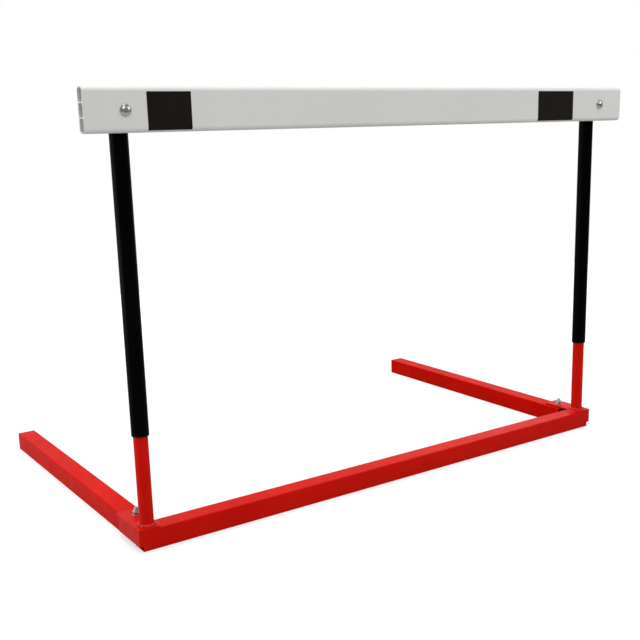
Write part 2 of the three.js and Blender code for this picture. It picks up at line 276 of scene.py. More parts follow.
class Nodes:
    """A material's node tree, with short ways to add what these finishes share."""

    def __init__(self, name, metallic=0.0, roughness=0.4, specular=0.5, index=1.5):
        self.material = bpy.data.materials.new(name)
        self.material.use_nodes = True
        self.tree = self.material.node_tree
        self.shader = self.tree.nodes["Principled BSDF"]
        self.shader.inputs["Metallic"].default_value = metallic
        self.shader.inputs["Roughness"].default_value = roughness
        self.shader.inputs["Specular IOR Level"].default_value = specular
        self.shader.inputs["IOR"].default_value = index
        self.place = self.tree.nodes.new("ShaderNodeTexCoord").outputs["Object"]

    def link(self, a, b):
        self.tree.links.new(a, b)

    def stretched(self, scale):
        node = self.tree.nodes.new("ShaderNodeMapping")
        node.inputs["Scale"].default_value = scale
        self.link(self.place, node.inputs["Vector"])
        return node.outputs["Vector"]

    def noise(self, scale, detail=2.0, rough=0.5, vector=None, distortion=0.0):
        node = self.tree.nodes.new("ShaderNodeTexNoise")
        node.inputs["Scale"].default_value = scale
        node.inputs["Detail"].default_value = detail
        node.inputs["Roughness"].default_value = rough
        node.inputs["Distortion"].default_value = distortion
        self.link(vector or self.place, node.inputs["Vector"])
        return node.outputs["Fac"]

    def cells(self, scale):
        node = self.tree.nodes.new("ShaderNodeTexVoronoi")
        node.inputs["Scale"].default_value = scale
        self.link(self.place, node.inputs["Vector"])
        return node

    def ramp(self, value, stops):
        node = self.tree.nodes.new("ShaderNodeValToRGB")
        elements = node.color_ramp.elements
        while len(elements) < len(stops):
            elements.new(0.5)
        for element, (at, colour) in zip(elements, stops):
            element.position = at
            element.color = (*colour, 1) if hasattr(colour, "__len__") else (colour, colour, colour, 1)
        self.link(value, node.inputs["Fac"])
        return node.outputs["Color"]

    def between(self, value, low, high, start=0.3, end=0.7):
        node = self.tree.nodes.new("ShaderNodeMapRange")
        for name, number in (("From Min", start), ("From Max", end), ("To Min", low), ("To Max", high)):
            node.inputs[name].default_value = number
        self.link(value, node.inputs["Value"])
        return node.outputs["Result"]

    def mix(self, share, a, b):
        node = self.tree.nodes.new("ShaderNodeMix")
        node.data_type = "RGBA"
        for value, socket in ((share, node.inputs[0]), (a, node.inputs[6]), (b, node.inputs[7])):
            if isinstance(value, bpy.types.NodeSocket):
                self.link(value, socket)
            elif hasattr(value, "__len__"):
                socket.default_value = (*value, 1)
            else:
                socket.default_value = value
        return node.outputs[2]

    def sum(self, a, b, operation="ADD"):
        return calculate(self.tree, a, b, operation)

    def bump(self, height, distance, strength=1.0, below=None):
        node = self.tree.nodes.new("ShaderNodeBump")
        node.inputs["Strength"].default_value = strength
        node.inputs["Distance"].default_value = distance
        self.link(height, node.inputs["Height"])
        if below is not None:
            self.link(below, node.inputs["Normal"])
        return node.outputs["Normal"]

    def done(self, colour, roughness, normal):
        self.link(colour, self.shader.inputs["Base Color"])
        self.link(roughness, self.shader.inputs["Roughness"])
        self.link(normal, self.shader.inputs["Normal"])
        return self.material


def red_powder_coat(name, specular=0.07, index=1.5, low=0.31, high=0.41, rough_weld=False):
    """Red powder coat: soft orange peel, faint mottling, pale specks and a few hairline rubs."""
    n = Nodes(name, specular=specular, index=index)
    mottle = n.noise(9, 3, 0.55)
    colour = n.ramp(mottle, [(0.3, (0.56, 0.0036, 0.0004)), (0.7, (0.64, 0.0056, 0.0008))])
    specks = n.ramp(n.noise(900, 2, 0.6), [(0.69, 0.0), (0.76, 1.0)])
    colour = n.mix(n.sum(specks, 0.10, "MULTIPLY"), colour, (0.75, 0.06, 0.04))
    rub = n.ramp(n.noise(1.0, 4, 0.65, n.stretched((22, 160, 160)), 0.4), [(0.66, 0.0), (0.70, 1.0)])
    rough = n.sum(n.between(n.noise(34, 3, 0.6), low, high), n.sum(rub, 0.10, "MULTIPLY"))
    peel = n.bump(n.noise(360, 2, 0.45), 0.00022, 0.35)
    grain = n.bump(n.noise(2200, 1, 0.5), 0.00003, 0.3, peel)
    if rough_weld:
        grain = n.bump(n.noise(420, 4, 0.6), 0.0009, 0.6, grain)
    return n.done(colour, rough, grain)


def black_powder_coat():
    """Black powder coat on the sleeves, with faint rubs along their length."""
    n = Nodes("black_powder_coat", specular=0.02)
    colour = n.ramp(n.noise(14, 3, 0.6), [(0.3, (0.0007, 0.0007, 0.0009)), (0.7, (0.0014, 0.0014, 0.0016))])
    streak = n.ramp(n.noise(1.0, 3, 0.6, n.stretched((900, 900, 14))), [(0.62, 0.0), (0.72, 1.0)])
    rough = n.sum(n.between(n.noise(60, 3, 0.6), 0.30, 0.38), n.sum(streak, 0.08, "MULTIPLY"))
    peel = n.bump(n.noise(420, 2, 0.45), 0.0002, 0.3)
    return n.done(colour, rough, peel)


def white_extrusion():
    """Off-white extruded plastic with die lines along the bar."""
    n = Nodes("white_extrusion", specular=0.4)
    cloud = n.noise(5, 3, 0.55)
    colour = n.ramp(cloud, [(0.3, (0.73, 0.73, 0.707)), (0.7, (0.775, 0.775, 0.75))])
    lines = n.noise(1.0, 3, 0.6, n.stretched((3, 700, 700)))
    shade = n.sum(n.ramp(lines, [(0.35, 1.0), (0.55, 0.0)]), 0.06, "MULTIPLY")
    colour = n.mix(shade, colour, (0.62, 0.62, 0.60))
    rough = n.between(n.noise(40, 3, 0.6), 0.38, 0.48)
    normal = n.bump(n.noise(260, 2, 0.5), 0.00012, 0.2, n.bump(lines, 0.00006, 0.35))
    return n.done(colour, rough, normal)


def black_vinyl():
    """Matte black film."""
    n = Nodes("black_vinyl", specular=0.08)
    colour = n.ramp(n.noise(30, 3, 0.6), [(0.3, (0.0100, 0.0066, 0.0052)), (0.7, (0.0130, 0.0088, 0.0070))])
    rough = n.between(n.noise(80, 2, 0.5), 0.46, 0.58)
    return n.done(colour, rough, n.bump(n.noise(1500, 2, 0.5), 0.00004, 0.4))


def moulded_black():
    """Moulded black plastic with a fine grain."""
    n = Nodes("moulded_black", specular=0.12)
    colour = n.ramp(n.noise(50, 2, 0.5), [(0.3, (0.0020, 0.0020, 0.0022)), (0.7, (0.0040, 0.0040, 0.0042))])
    rough = n.between(n.noise(120, 2, 0.5), 0.5, 0.64)
    grain = n.cells(1400).outputs["Distance"]
    return n.done(colour, rough, n.bump(grain, 0.00006, 0.5))


def bright_zinc():
    """Bright zinc plating: fine spangle, soft handling marks."""
    n = Nodes("bright_zinc", metallic=1.0)
    tint = n.ramp(n.cells(900).outputs["Color"], [(0.0, (0.44, 0.44, 0.45)), (1.0, (0.58, 0.58, 0.585))])
    colour = n.mix(n.ramp(n.noise(180, 3, 0.6), [(0.45, 0.0), (0.75, 0.5)]), tint, (0.45, 0.45, 0.44))
    rough = n.between(n.noise(420, 3, 0.6), 0.22, 0.36)
    return n.done(colour, rough, n.bump(n.noise(700, 2, 0.5), 0.00004, 0.4))


def spring_steel():
    """Bare steel strip with faint rolling lines."""
    n = Nodes("spring_steel", metallic=1.0)
    lines = n.noise(1.0, 2, 0.5, n.stretched((1800, 1800, 40)))
    colour = n.ramp(lines, [(0.3, (0.36, 0.37, 0.39)), (0.7, (0.48, 0.49, 0.51))])
    return n.done(colour, n.between(n.noise(300, 2, 0.5), 0.22, 0.36), n.bump(lines, 0.00003, 0.4))


RED = red_powder_coat("red_powder_coat")
LEG_RED = red_powder_coat("red_leg_coat", specular=0.06, index=1.28)
WELD = red_powder_coat("red_weld_coat", specular=0.3, low=0.22, high=0.36, rough_weld=True)
BLACK, WHITE, VINYL = black_powder_coat(), white_extrusion(), black_vinyl()
MOULDED, ZINC, STEEL = moulded_black(), bright_zinc(), spring_steel()


# Base: square tubes, brackets, posts and welds

TUBE_WALL, TUBE_RADIUS = 2.0, 2.5
POST_RADIUS, POST_BORE, PLUG_RADIUS = 12.5, 10.5, 10.45
# Radii of the holes, and of the leg's rounded corner about its pivot
PIVOT_HOLE, PIVOT_ACCESS, BUTTON_HOLE, BOLT_HOLE, SWING = 4.3, 11.0, 4.3, 4.3, 19.0
# How far a cutting shape reaches beyond what it cuts
BEYOND = 5
# How far below a snap clip's top its button lies
BUTTON_DROP = 6
WELD_SEEDS = {"left": 3.7, "right": 8.2}


def square_tube(low, high, axis, edge=0.45):
    """A square tube with open ends and the edges of its wall rounded."""
    k = "XYZ".index(axis)
    centre = (low + high) / 2
    across = [high[i] - low[i] for i in range(3) if i != k]
    wall = fillet([(0, low[k]), (0, high[k]), (TUBE_WALL, high[k]), (TUBE_WALL, low[k])], edge, 3)
    centre[k] = 0
    return turn_to(skin(swept(wall, square_loop(*across, TUBE_RADIUS)), closed=True), axis, centre)


def leg_tube(side, sign):
    """A leg: its front outer corner is rounded about the pivot, with a bolt hole above and access below."""
    low, high = box(f"{side}_leg_tube")
    x, y, _ = middle(f"{side}_pivot_washer")
    outside = x + sign * 25
    corner = block((min(x, outside), low[1] - BEYOND, -BEYOND), (max(x, outside), y, high[2] + BEYOND))
    kept = cylinder(SWING, -2 * BEYOND, high[2] + 2 * BEYOND, "Z", (x, y, 0), 96)
    corner = boolean(corner, [kept], "DIFFERENCE")
    bolt = cylinder(PIVOT_HOLE, high[2] / 2, high[2] + BEYOND, "Z", (x, y, 0))
    access = cylinder(PIVOT_ACCESS, -BEYOND, high[2] / 2, "Z", (x, y, 0))
    return boolean(square_tube(low, high, "Y"), [corner, bolt, access], "DIFFERENCE")


def leg_end(side):
    """The plate on a leg's rear end, with a rounded outer edge."""
    low, high = box(f"{side}_leg_end_plate")
    start, end, _, line = along(f"{side}_leg_end_plate", "Y")
    seam, rounding = 0.15, 1.1
    rim = fillet([(0.6, start), (0, start), (0, end), (5.0, end)], [0, seam, rounding, 0], closed=False)
    loop = square_loop(high[0] - low[0], high[2] - low[2], TUBE_RADIUS)
    return turn_to(skin(swept([(3.0, start), *rim], loop), caps=True), "Y", line)


def bracket(side, sign):
    """A plate over the tube's end and the leg, with a thick flange hanging outside."""
    low, high = box(f"{side}_corner_bracket")
    tube_low, tube_high = box("front_tube")
    end = tube_high[0] if sign > 0 else tube_low[0]
    inner, outer = (low[0], high[0]) if sign > 0 else (high[0], low[0])
    bottom = tube_high[2]
    flange_length, corner, rounding = 90, 3, 0.7
    outline = fillet([(inner, low[1]), (outer, low[1]), (outer, high[1]), (inner, high[1])],
                     [0, 0, corner, corner], 5)
    plate = skin([level(outline, bottom), level(outline, high[2])], caps=True)
    flange = block((min(end, outer), low[1], low[2]), (max(end, outer), low[1] + flange_length, high[2]))
    solid = boolean(plate, [flange], "UNION")
    bmesh.ops.dissolve_limit(solid, angle_limit=math.radians(1), verts=solid.verts, edges=solid.edges)
    soften(solid, rounding, keep=lambda p: abs(p.x - end) < 0.01 and p.z < bottom + 0.01)
    x, y, _ = middle(f"{side}_pivot_washer")
    hole = cylinder(PIVOT_HOLE, bottom - BEYOND, high[2] + BEYOND, "Z", (x, y, 0))
    solid = boolean(solid, [hole], "DIFFERENCE")
    return boolean(solid, [front_seam(low[1], bottom, inner, end, sign)], "UNION")


def front_seam(front, bottom, inner, end, sign):
    """The ground weld that fills the hollow between the plate's front edge and the tube's rounded corner."""
    proud, lap, steps = 0.02, 1.2, 8
    arc = [(front + TUBE_RADIUS * (1 - math.cos(a)), bottom - TUBE_RADIUS * (1 - math.sin(a)))
           for a in np.linspace(math.radians(12), math.radians(78), steps)]
    outline = [(front - proud, bottom + lap), (front - proud, arc[0][1]), *arc, (arc[-1][0], bottom + lap)]
    ends = sorted((inner + sign * 0.5, end + sign * 1.0))
    return skin([[(x, y, z) for y, z in outline] for x in ends], caps=True)


def drops(count, seed):
    """The overlapping drops of a weld bead as (centre, half width, size), from 0 to 1 along it."""
    made = []
    for i in range(count):
        shift = noise.noise(Vector((i * 1.37, seed, 0.31)))
        grow = noise.noise(Vector((i * 2.61, seed, 7.93)))
        made.append(((i + 0.5 + 0.4 * shift) / count, (0.78 + 0.3 * grow) / count, 1.0 + 0.4 * grow))
    return made


def swell(bead, a, ring_shaped=False):
    """How far a bead stands out at one place along it, with creases between its drops."""
    best = 0.0
    for centre, half, size in bead:
        away = a - centre
        if ring_shaped:
            away -= round(away)
        if abs(away) < half:
            best = max(best, size * math.sqrt(1 - (away / half) ** 2))
    return best


def post_weld(side):
    """The bead round a post's foot, of drops that lean round it."""
    low, high = box(f"{side}_post_weld")
    centre = (low + high) / 2
    reach, height = (high[0] - low[0]) / 2 - POST_RADIUS, (high[2] - low[2]) * 0.9
    count, steps, bead = 360, 9, drops(18, WELD_SEEDS[side])
    least, rise, lean, fullness = 0.45, 0.75, 0.012, 0.8
    rows = []
    for k in range(steps + 1):
        a = k / steps * math.pi / 2
        row = []
        for j in range(count):
            size = least + rise * swell(bead, j / count - lean * math.sin(a), True)
            r = POST_RADIUS + reach * size * math.cos(a) ** fullness
            z = low[2] + height * size * math.sin(a) ** fullness
            t = 2 * math.pi * j / count
            row.append((centre[0] + r * math.sin(t), centre[1] - r * math.cos(t), z))
        rows.append(row)
    rows.append([(centre[0] + u, centre[1] + v, low[2]) for u, v in circle(POST_RADIUS, count)])
    return skin(rows, closed=True)


def plate_weld(side, sign):
    """A short bead on the tube along the plate's inner edge, rounded off at both ends."""
    low, high = box(f"{side}_plate_weld")
    edge = high[0] if sign > 0 else low[0]
    width, length, height = high - low
    reach = sign * (width - 0.8)
    steps, across, bead = 96, 9, drops(5, WELD_SEEDS[side])
    least, rise, lean = 0.4, 0.7, 0.03
    rows = []
    for i in range(steps + 1):
        share = i / steps
        y = low[1] + length * share
        taper = max(0.03, math.sin(math.pi * share)) ** 0.3
        row = [(edge, y, low[2])]
        for k in range(across):
            a = k / (across - 1) * math.pi / 2
            size = taper * (least + rise * swell(bead, share - lean * math.cos(a)))
            row.append((edge - reach * size * math.cos(a), y, low[2] + height * size * math.sin(a)))
        rows.append(row)
    return skin(rows, caps=True)


def drilled_tube(outer, inner, low, high, holes, at, span=4):
    """A round tube along z with clean holes, each a height, a radius and a side, -1 in front or 1 behind.
    A hole sits in a patch of the wall's grid, so that the wall stays smooth round it."""
    bm = bmesh.new()
    made = {}
    count, edge, edge_steps = 64, 0.35, 3
    patch = span * 2
    reach = 1.06 * outer * math.sin(2 * math.pi * span / count)
    marks = [low + edge, high - edge]
    for z, _, _ in holes:
        marks += [z + reach * (2 * i / patch - 1) for i in range(patch + 1)]
    marks = sorted(set(round(m, 4) for m in marks))
    levels = {m: i for i, m in enumerate(marks)}
    places = [(levels[round(z - reach, 4)], 0 if side < 0 else count // 2) for z, _, side in holes]

    def vert(radius, i, j):
        key = (radius, i, j % count)
        if key not in made:
            a = 2 * math.pi * (j % count) / count
            made[key] = bm.verts.new((at[0] + radius * math.sin(a), at[1] - radius * math.cos(a), marks[i]))
        return made[key]

    open_cells = set()
    for first, column in places:
        for i in range(patch):
            for j in range(-span, span):
                open_cells.add((first + i, (column + j) % count))
    for radius in (outer, inner):
        for i in range(len(marks) - 1):
            for j in range(count):
                if (i, j) not in open_cells:
                    bm.faces.new([vert(radius, i, j), vert(radius, i, j + 1),
                                  vert(radius, i + 1, j + 1), vert(radius, i + 1, j)])
    for i, end, way in ((0, low, -1), (len(marks) - 1, high, 1)):
        loops = [[vert(outer, i, j) for j in range(count)]]
        for start, turn in ((outer - edge, 0), (inner + edge, 1)):
            for k in range(1 - turn, edge_steps + 1 - turn):
                a = (k + turn * edge_steps) / edge_steps * math.pi / 2
                r = start + edge * math.cos(a)
                z = end - way * edge + way * edge * math.sin(a)
                loops.append([bm.verts.new((at[0] + u, at[1] + v, z)) for u, v in circle(r, count)])
        loops.append([vert(inner, i, j) for j in range(count)])
        bridge(bm, loops)
    for (z, r, side), (first, column) in zip(holes, places):
        ring = [(first, column + j) for j in range(-span, span)]
        ring += [(first + i, column + span) for i in range(patch)]
        ring += [(first + patch, column - j) for j in range(-span, span)]
        ring += [(first + patch - i, column - span) for i in range(patch)]
        loops = [[vert(outer, i, j) for i, j in ring]]
        turns = [math.atan2(v.co.z - z, v.co.x - at[0]) for v in loops[0]]
        for radius, grow, sink in ((outer, 0.3, 0.0), (outer, 0.09, -0.09), (outer, 0.0, -0.3),
                                   (inner, 0.0, 0.3), (inner, 0.3, 0.0)):
            loop = []
            for t in turns:
                x = (r + grow) * math.cos(t)
                depth = math.sqrt(radius ** 2 - x ** 2) + sink
                loop.append(bm.verts.new((at[0] + x, at[1] + side * depth, z + (r + grow) * math.sin(t))))
            loops.append(loop)
        loops.append([vert(inner, i, j) for i, j in ring])
        bridge(bm, loops)
    return bm


def plug(node, tube, head_edge, radius):
    """A moulded plug or cap: a low dome on a head, and a hollow body that reaches into the tube."""
    bottom, top, head, line = along(node, "Z")
    seat = box(tube)[1][2]
    hollow, ceiling, crown = radius - 1.6, seat - 0.2, 1.2
    body = [(0, ceiling), (hollow, ceiling), (hollow, bottom), (radius, bottom), (radius, seat)]
    corner, slope = (head, top - head_edge * 0.4), (head - head_edge * 1.6, top - 0.25)
    rim = fillet([(head, seat), corner, slope, (0, top)], [0, head_edge, crown, 0], 5, closed=False)
    return turn_to(skin(turned(body + rim)), "Z", line)


def button_height(side):
    return box(f"{side}_snap_clip")[1][2] - BUTTON_DROP


piece("front_tube", square_tube(*box("front_tube"), "X", 0.12), RED, "base")
for side, sign in SIDES:
    piece(f"{side}_leg_tube", leg_tube(side, sign), LEG_RED, f"{side}_leg")
    piece(f"{side}_leg_end_plate", leg_end(side), LEG_RED, f"{side}_leg")
    piece(f"{side}_corner_bracket", bracket(side, sign), RED, "base")
    piece(f"{side}_post_weld", post_weld(side), WELD, "base", sharp=60)
    piece(f"{side}_plate_weld", plate_weld(side, sign), WELD, "base", sharp=60)
    bottom, top, _, line = along(f"{side}_post", "Z")
    holes = [(button_height(side), BUTTON_HOLE, 1)]
    post = drilled_tube(POST_RADIUS, POST_BORE, bottom, top, holes, line, span=5)
    piece(f"{side}_post", post, RED, "base")
    stopper = plug(f"{side}_post_plug", f"{side}_post", 1.0, PLUG_RADIUS)
    piece(f"{side}_post_plug", stopper, MOULDED, "base")


# Fasteners, with their number of points round

ROUND = 72
BOLT_RADIUS, THREAD_DEPTH, THREAD_PITCH, TIP = 4.0, 0.62, 1.25, 0.8
ACROSS_FLATS, WASHER_BORE, NUT_BORE, COUNTERSINK = 13.0, 4.3, 4.1, 0.7
# Radii of the round flat on the face of a nut and of a bolt's head
NUT_FACE, HEAD_FACE = ACROSS_FLATS / 2 * 0.985, ACROSS_FLATS / 2 * 0.96


def hoop(radius, w):
    return level(circle(radius, ROUND), w)


def hexagon():
    """The outline of a nut or a bolt's head, with as many points as a hoop."""
    points = []
    for j in range(ROUND):
        a = 2 * math.pi * j / ROUND
        r = ACROSS_FLATS / 2 / math.cos((a % (math.pi / 3)) - math.pi / 6)
        points.append((r * math.sin(a), -r * math.cos(a)))
    return points


def chamfered(w, away):
    """A hexagon's edge where a cone cuts its corners back. away is -1 at the low end and 1 at the high."""
    return [(u, v, w - away * (math.hypot(u, v) - ACROSS_FLATS / 2) * math.tan(math.radians(30)))
            for u, v in hexagon()]


def thread(start, end):
    """Rows of a screw thread whose crest winds up along w and runs out at both ends."""
    rows = []
    steps = 8
    total = int((end - start) / THREAD_PITCH * steps)
    for i in range(total + 1):
        w = start + (end - start) * i / total
        fade = min(1, i / steps, (total - i) / steps)
        row = []
        for j in range(ROUND):
            a = 2 * math.pi * j / ROUND
            phase = (w / THREAD_PITCH - j / ROUND) % 1
            r = BOLT_RADIUS - THREAD_DEPTH * fade * (1 - abs(2 * phase - 1)) ** 0.8
            row.append((r * math.sin(a), -r * math.cos(a), w))
        rows.append(row)
    return rows


def washer(node, axis):
    """A washer with rounded edges."""
    bottom, top, radius, line = along(node, axis)
    profile = fillet([(radius, bottom), (radius, top), (WASHER_BORE, top), (WASHER_BORE, bottom)], 0.3, 3)
    return turn_to(skin(turned(profile, ROUND), closed=True), axis, line)


def nut(node, axis):
    """A hexagon nut with its corners cut back by a cone at both ends and its bore countersunk."""
    bottom, top, _, line = along(node, axis)
    rows = [hoop(NUT_FACE, bottom), chamfered(bottom, -1), chamfered(top, 1), hoop(NUT_FACE, top),
            hoop(NUT_BORE + COUNTERSINK, top), hoop(NUT_BORE, top - COUNTERSINK),
            hoop(NUT_BORE, bottom + COUNTERSINK), hoop(NUT_BORE + COUNTERSINK, bottom)]
    return turn_to(skin(rows, closed=True), axis, line)


def lock_nut(node):
    """A hexagon nut with a round collar on top and a recess in the collar's mouth."""
    bottom, top, _, line = along(node, "Z")
    shoulder, collar, mouth, recess = bottom + 5.5, 5.75, NUT_BORE + 0.9, top - 0.6
    rows = [hoop(NUT_FACE, bottom), chamfered(bottom, -1), chamfered(shoulder, 1), hoop(NUT_FACE, shoulder),
            hoop(collar + 0.25, shoulder + 0.05), hoop(collar, shoulder + 0.35)]
    rim = fillet([(collar, shoulder + 0.35), (collar, top), (mouth, top), (mouth, recess),
                  (NUT_BORE, recess), (NUT_BORE, bottom + COUNTERSINK), (NUT_BORE + COUNTERSINK, bottom)],
                 [0, 0.9, 0.3, 0, 0, 0, 0], closed=False)
    rows += turned(rim[1:], ROUND)
    return turn_to(skin(rows, closed=True), "Z", line)


def pivot_bolt(node):
    """A hexagon bolt with its head below and its threaded end above."""
    bottom, top, _, line = along(node, "Z")
    head = bottom + 5.3
    rows = [[(0, 0, bottom)], hoop(HEAD_FACE, bottom), chamfered(bottom, -1), level(hexagon(), head),
            hoop(BOLT_RADIUS, head), hoop(BOLT_RADIUS, head + 3)]
    rows += thread(head + 3.2, top - TIP)
    rows += [hoop(BOLT_RADIUS - TIP, top), [(0, 0, top)]]
    return turn_to(skin(rows), "Z", line)


def bar_bolt(node):
    """A domed bolt from the front of the bar to behind the sleeve."""
    front, back, head, line = along(node, "Y")
    rise, rim, steps = 4.6, 0.7, 14
    face = front + rise
    profile = []
    for k in range(steps + 1):
        a = math.pi / 2 * (1 - k / steps)
        profile.append(((head - 0.15) * math.cos(a), face - rim - (rise - rim) * math.sin(a)))
    profile += [(head, face - 0.45), (head - 0.15, face - 0.05), (head - 0.5, face), (BOLT_RADIUS, face),
                (BOLT_RADIUS, back - 13.5)]
    rows = turned(profile, ROUND) + thread(back - 13.2, back - TIP)
    rows += turned([(BOLT_RADIUS - TIP, back), (0, back)], ROUND)
    return turn_to(skin(rows), "Y", line)


for side, _ in SIDES:
    piece(f"{side}_pivot_bolt", pivot_bolt(f"{side}_pivot_bolt"), ZINC, "base", sharp=45)
    piece(f"{side}_pivot_washer", washer(f"{side}_pivot_washer", "Z"), ZINC, "base")
    piece(f"{side}_pivot_nut", lock_nut(f"{side}_pivot_nut"), ZINC, "base", sharp=25)
    piece(f"{side}_bar_bolt", bar_bolt(f"{side}_bar_bolt"), ZINC, "upper", sharp=45)
    piece(f"{side}_bar_washer", washer(f"{side}_bar_washer", "Y"), ZINC, "upper")
    piece(f"{side}_bar_nut", nut(f"{side}_bar_nut", "Y"), ZINC, "upper", sharp=25)


# Sleeves, their fittings and the snap clips

SLEEVE_RADIUS, SLEEVE_BORE, FITTING_RADIUS, BUSH_BORE = 15.0, 13.5, 13.45, 12.75
HEIGHTS, HEIGHT_STEP = 5, 76.2
# The clip: half its strip's thickness and width, half its fold's width, and its height above the fold
STRIP_HALF, STRIP_SIDE, FOLD_HALF, CLIP_HEIGHT = 0.4, 4, 2.6, 52
BUTTON_RADIUS = 4


def guide_bush(side):
    """A bush in the sleeve's lower end, with a rounded lip under the sleeve."""
    bottom, top, lip, line = along(f"{side}_guide_bush", "Z")
    sleeve = box(f"{side}_sleeve")[0][2]
    profile = fillet([(BUSH_BORE, bottom), (lip, bottom), (lip, sleeve), (FITTING_RADIUS, sleeve),
                      (FITTING_RADIUS, top), (BUSH_BORE, top)], [0.4, 1.4, 0, 0, 0.2, 0.2], 5)
    return turn_to(skin(turned(profile), closed=True), "Z", line)


def clip_spread(side):
    """How far the ends of the clip's legs stand from the post's axis, to the middle of the strip."""
    return middle(f"{side}_post")[1] - box(f"{side}_snap_clip")[0][1] - STRIP_HALF


def snap_clip(side):
    """A strip of spring steel bent to a V inside the post, with a round button on its rear leg."""
    low, high = box(f"{side}_snap_clip")
    post = middle(f"{side}_post")
    spread = clip_spread(side)
    fold = low[2] + STRIP_HALF
    line = fillet([(-spread, high[2]), (-FOLD_HALF, fold), (FOLD_HALF, fold), (spread, high[2])],
                  2.4, 6, closed=False)
    points = np.array(line)
    forward = np.gradient(points, axis=0)
    forward /= np.linalg.norm(forward, axis=1)[:, None]
    across = np.stack([-forward[:, 1], forward[:, 0]], 1) * STRIP_HALF
    rows = []
    for p, o in zip(points, across):
        corners = [(-STRIP_SIDE, p - o), (STRIP_SIDE, p - o), (STRIP_SIDE, p + o), (-STRIP_SIDE, p + o)]
        rows.append([(post[0] + x, post[1] + q[0], q[1]) for x, q in corners])
    strip = skin(rows, caps=True)
    tip = high[1]
    base = post[1] + spread - (spread - FOLD_HALF) * BUTTON_DROP / CLIP_HEIGHT
    dome = [(BUTTON_RADIUS * math.cos(a), tip - 2 + 2 * math.sin(a))
            for a in np.linspace(0.12, math.pi / 2 - 0.12, 8)]
    profile = [(0, base), (BUTTON_RADIUS, base), (BUTTON_RADIUS, tip - 2.4), *dome, (0, tip)]
    button = turn_to(skin(turned(profile, 48)), "Y", (post[0], 0, button_height(side)))
    return boolean(strip, [button], "UNION")


def bend_from(clip):
    """Bakes the clip's place into its mesh. The clip rides on no body."""
    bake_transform(clip)


for side, _ in SIDES:
    bottom, top, _, line = along(f"{side}_sleeve", "Z")
    bolt = middle(f"{side}_bar_washer")[2]
    holes = [(button_height(side) - HEIGHT_STEP * i, BUTTON_HOLE, 1) for i in range(HEIGHTS)]
    holes += [(bolt, BOLT_HOLE, -1), (bolt, BOLT_HOLE, 1)]
    sleeve = drilled_tube(SLEEVE_RADIUS, SLEEVE_BORE, bottom, top, holes, line)
    piece(f"{side}_sleeve", sleeve, BLACK, "upper")
    piece(f"{side}_guide_bush", guide_bush(side), MOULDED, "upper")
    cap = plug(f"{side}_sleeve_cap", f"{side}_sleeve", 1.4, FITTING_RADIUS)
    piece(f"{side}_sleeve_cap", cap, MOULDED, "upper")
    clip = piece(f"{side}_snap_clip", snap_clip(side), STEEL, None)
    bend_from(clip)


# Crossbar

BAR_WALL, BAR_WEB, BAR_RADIUS, CELL_RADIUS = 2.0, 1.6, 8.0, 5.0


def crossbar():
    """The hollow extrusion: an outer skin and three cells, joined by flat end faces with eased edges."""
    low, high = box("crossbar")
    centre = (low + high) / 2
    thick, tall = high[1] - low[1], high[2] - low[2]
    cell = (tall - 2 * BAR_WALL - 2 * BAR_WEB) / 3
    ease = 0.35
    slight = ease * 0.29
    bm = bmesh.new()
    ends = [[], []]
    skins = [(0.0, square_loop(thick, tall, BAR_RADIUS, 10), 1)]
    for i in (-1, 0, 1):
        skins.append((i * (cell + BAR_WEB), square_loop(thick - 2 * BAR_WALL, cell, CELL_RADIUS, 6), -1))
    for lift, loop, way in skins:
        rows = []
        for inset, x in ((ease, low[0]), (slight, low[0] + slight), (0, low[0] + ease),
                         (0, high[0] - ease), (slight, high[0] - slight), (ease, high[0])):
            outline = loop(way * inset)
            rows.append([bm.verts.new((x, centre[1] + u, centre[2] + lift + v)) for u, v in outline])
        bridge(bm, rows)
        for end, row in ((0, rows[0]), (1, rows[-1])):
            ends[end] += [bm.edges.get((row[j], row[(j + 1) % len(row)])) for j in range(len(row))]
    for edges in ends:
        bmesh.ops.triangle_fill(bm, use_beauty=True, use_dissolve=False, edges=edges)
    cutters = []
    for side, _ in SIDES:
        bolt = middle(f"{side}_bar_bolt")
        cutters.append(cylinder(BOLT_HOLE, low[1] - BEYOND, high[1] + BEYOND, "Y", (bolt[0], 0, bolt[2])))
    return boolean(bm, cutters, "DIFFERENCE")


def band(side):
    """A film that follows the bar's front face and its rounded edge, with small round corners."""
    low, high = box(f"{side}_black_band")
    bar_low, bar_high = box("crossbar")
    film, corner, steps = 0.3, 0.8, 6
    turns = [k / steps * math.pi / 2 for k in range(steps + 1)]
    below = [(low[2] + corner * (1 - math.cos(a)), corner * (1 - math.sin(a))) for a in turns]
    bend = [(z, 0.0) for z in np.linspace(low[2] + corner + 0.4, bar_low[2] + BAR_RADIUS, 10)]
    above = [(high[2] + low[2] - z, inset) for z, inset in reversed(below)]
    rows = []
    for z, inset in below + bend + above:
        away = max(bar_low[2] + BAR_RADIUS - z, z - bar_high[2] + BAR_RADIUS, 0.0)
        back = bar_low[1] + BAR_RADIUS - math.sqrt(BAR_RADIUS ** 2 - away ** 2)
        rows.append([(low[0] + inset, back - film, z), (high[0] - inset, back - film, z),
                     (high[0] - inset, back, z), (low[0] + inset, back, z)])
    return skin(rows, caps=True)


piece("crossbar", crossbar(), WHITE, "upper")
for side, _ in SIDES:
    piece(f"{side}_black_band", band(side), VINYL, "upper")


# Floor, light and camera

